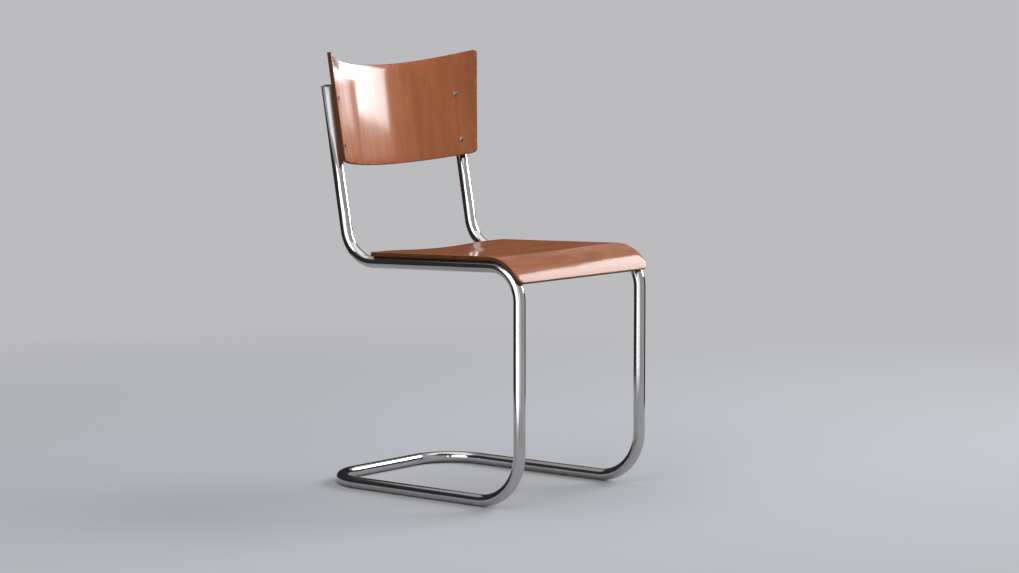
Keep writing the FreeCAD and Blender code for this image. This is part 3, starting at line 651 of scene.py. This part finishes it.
tube.data.materials.append(chrome("aged_chrome", TUBE_PLATE, dull=0.09, specks=0.69))
seat.data.materials.append(varnished_wood(
    "varnished_seat", SEAT_PLY, SEAT_WARM, SEAT_DEEP, far_face_dark=0.6,
    roughness=0.55, specular=0.1, coat=0.5, coat_roughness=0.1))
back.data.materials.append(varnished_wood(
    "varnished_back", BACK_PLY, BACK_WARM, BACK_DEEP, far_face_dark=0.1,
    roughness=0.42, specular=0.16, coat=1.0, coat_roughness=0.125, bow=0.25, middle=0.235))
screw_nickel = chrome("aged_nickel", SCREW_PLATE, dull=0.36, specks=0.62)
for node_name, material in (
        ("end_plugs", dull_plastic("plug_plastic")),
        ("back_screws", screw_nickel),
        ("seat_screws", screw_nickel)):
    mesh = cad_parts[node_name].data
    mesh.materials.clear()
    mesh.materials.append(material)


# Stage: floor, screens, world, lamps and camera. From here on lengths are metres.

PALE = (0.50, 0.50, 0.515, 1)
SURROUNDINGS = (0.26, 0.27, 0.285, 1)
SCREEN_DARK = (0.03, 0.028, 0.03, 1)
FLOOR_RADIUS = 40.0
FLOOR_DROP = 0.0002
FADE_REACH = 3.0


def stage_mesh(name, build):
    mesh = bpy.data.meshes.new(name)
    bm = bmesh.new()
    build(bm)
    bm.to_mesh(mesh)
    bm.free()
    obj = bpy.data.objects.new(name, mesh)
    scene.collection.objects.link(obj)
    return obj


def pale_floor():
    """Floor colour near the chair, which fades into the backdrop's even tone further out."""
    n = Nodes("pale_floor")
    n.set(Base_Color=PALE, Roughness=0.8, Specular_IOR_Level=0.0)
    distance = n.tree.nodes.new("ShaderNodeVectorMath")
    distance.operation = "LENGTH"
    n.link(n.coords, distance.inputs[0])
    far = n.ramp(n.math("DIVIDE", distance.outputs["Value"], FADE_REACH), (0.27, 0.0), (0.9, 1.0))
    distant = n.tree.nodes.new("ShaderNodeEmission")
    distant.inputs["Color"].default_value = PALE
    blend = n.tree.nodes.new("ShaderNodeMixShader")
    n.link(far, blend.inputs[0])
    n.link(n.shader.outputs[0], blend.inputs[1])
    n.link(distant.outputs[0], blend.inputs[2])
    n.link(blend.outputs[0], n.out.inputs[0])
    return n.material


floor = stage_mesh(
    "floor", lambda bm: bmesh.ops.create_circle(bm, cap_ends=True, radius=FLOOR_RADIUS, segments=96))
floor.location.z = -FLOOR_DROP
floor.data.materials.append(pale_floor())

VIEW = Vector((0.77599, 0.62306, -0.09810))
SCREEN_STEPS = 38
# Screens that only reflections see: name, radius and height, and their two ends in degrees to the left of
# the camera's direction. They give plating and varnish something dark to reflect.
SCREENS = (
    ("dark_screen", 1.25, 0.62, 20.0, -82.0),
    ("dark_side", 1.25, 1.3, 124.0, 20.0),
    ("dark_rear", 1.27, 0.95, 20.0, -11.0),
    ("dark_stand", 1.12, 1.2, 184.5, 175.5),
)


def screen_wall(bm, radius, top, left, right):
    """A wall on a circle round the chair, from the floor up."""
    forward = math.atan2(VIEW.y, VIEW.x)
    rows = []
    for i in range(SCREEN_STEPS + 1):
        angle = forward + math.radians(left + (right - left) * i / SCREEN_STEPS)
        x, y = radius * math.cos(angle), radius * math.sin(angle)
        rows.append([bm.verts.new((x, y, z)) for z in (0.0, top)])
    for a, b in zip(rows, rows[1:]):
        bm.faces.new((a[0], b[0], b[1], a[1]))


screen_cloth = Nodes("screen_cloth")
screen_cloth.set(Base_Color=SCREEN_DARK, Roughness=0.9)
for name, *sizes in SCREENS:
    screen = stage_mesh(name, lambda bm: screen_wall(bm, *sizes))
    screen.data.materials.append(screen_cloth.material)
    screen.visible_camera = False
    screen.visible_diffuse = False
    screen.visible_shadow = False
    screen.visible_transmission = False


def make_world():
    """Camera, glossy and transmission rays see the backdrop's tone; the chair is lit by a dimmer one."""
    world = bpy.data.worlds.new("studio")
    scene.world = world
    world.use_nodes = True
    nodes, links = world.node_tree.nodes, world.node_tree.links
    nodes.clear()
    out = nodes.new("ShaderNodeOutputWorld")
    seen = nodes.new("ShaderNodeBackground")
    seen.inputs["Color"].default_value = PALE
    lit = nodes.new("ShaderNodeBackground")
    lit.inputs["Color"].default_value = SURROUNDINGS
    rays = nodes.new("ShaderNodeLightPath")
    share = rays.outputs["Is Camera Ray"]
    for kind in ("Is Glossy Ray", "Is Transmission Ray"):
        either = nodes.new("ShaderNodeMath")
        either.operation = "MAXIMUM"
        links.new(share, either.inputs[0])
        links.new(rays.outputs[kind], either.inputs[1])
        share = either.outputs[0]
    pick = nodes.new("ShaderNodeMixShader")
    links.new(share, pick.inputs[0])
    links.new(lit.outputs[0], pick.inputs[1])
    links.new(seen.outputs[0], pick.inputs[2])
    links.new(pick.outputs[0], out.inputs[0])


make_world()

DAYLIGHT = (0.95, 0.98, 1.0)


def softbox(name, place, aim, size, power, roll=0.0, diffuse=True, glossy=True, on=()):
    """An area lamp, in metres, watts and degrees. With on, it lights only the pieces named there."""
    light = bpy.data.lights.new(name, "AREA")
    light.shape = "RECTANGLE"
    light.size, light.size_y = size
    light.energy = power
    light.color = DAYLIGHT
    obj = bpy.data.objects.new(name, light)
    obj.location = place
    turn = (Vector(aim) - Vector(place)).to_track_quat("-Z", "Y") @ Quaternion((0, 0, 1), math.radians(roll))
    obj.rotation_euler = turn.to_euler()
    obj.visible_camera = False
    obj.visible_diffuse = diffuse
    obj.visible_glossy = glossy
    if on:
        obj.light_linking.receiver_collection = bpy.data.collections.new(name + "_receivers")
        for receiver in on:
            obj.light_linking.receiver_collection.objects.link(receiver)
    scene.collection.objects.link(obj)


# The main light comes from the camera's right, high up. Lamps with diffuse off only show as reflections.
all_but_back = (seat, tube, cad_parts["seat_screws"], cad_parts["end_plugs"])
softbox("window", place=(3.86, -2.27, 2.75), aim=(0, 0.24, 0.74), size=(3.1, 3.1), power=230, glossy=False)
softbox("window_strip", place=(4.41, -1.10, 2.03), aim=(0, 0.21, 0.71), size=(5.4, 1.2), power=260,
        roll=-9.0, diffuse=False, on=(back,))
softbox("window_high", place=(3.43, -1.34, 1.985), aim=(0, -0.26, 0.42), size=(1.9, 1.89), power=145,
        diffuse=False, on=all_but_back)
softbox("top", place=(0, 0, 3.4), aim=(0, 0, 0), size=(4.0, 4.0), power=45)
softbox("fill", place=(-3.4, -0.6, 2.4), aim=(0, 0, 0.4), size=(2.4, 2.0), power=40)
softbox("front_glint", place=(-1.21, -0.32, 0.605), aim=(0, 0, 0.605), size=(1.75, 1.2), power=12,
        diffuse=False, on=(tube,))

# The camera's place is measured from the floor midway between the front legs.
EYE = Vector((-3.92671, -2.98378, 0.87857))
FOCAL_PIXELS = 2701.894
IMAGE_WIDTH = 1019
SENSOR = 36.0

camera_data = bpy.data.cameras.new("camera")
camera_data.sensor_width = SENSOR
camera_data.lens = SENSOR * FOCAL_PIXELS / IMAGE_WIDTH
camera = bpy.data.objects.new("camera", camera_data)
camera.location = EYE + Vector((0, LEG_Y * MM, 0))
camera.rotation_euler = VIEW.to_track_quat("-Z", "Y").to_euler()
scene.collection.objects.link(camera)
scene.camera = camera

scene.view_settings.view_transform = "Standard"
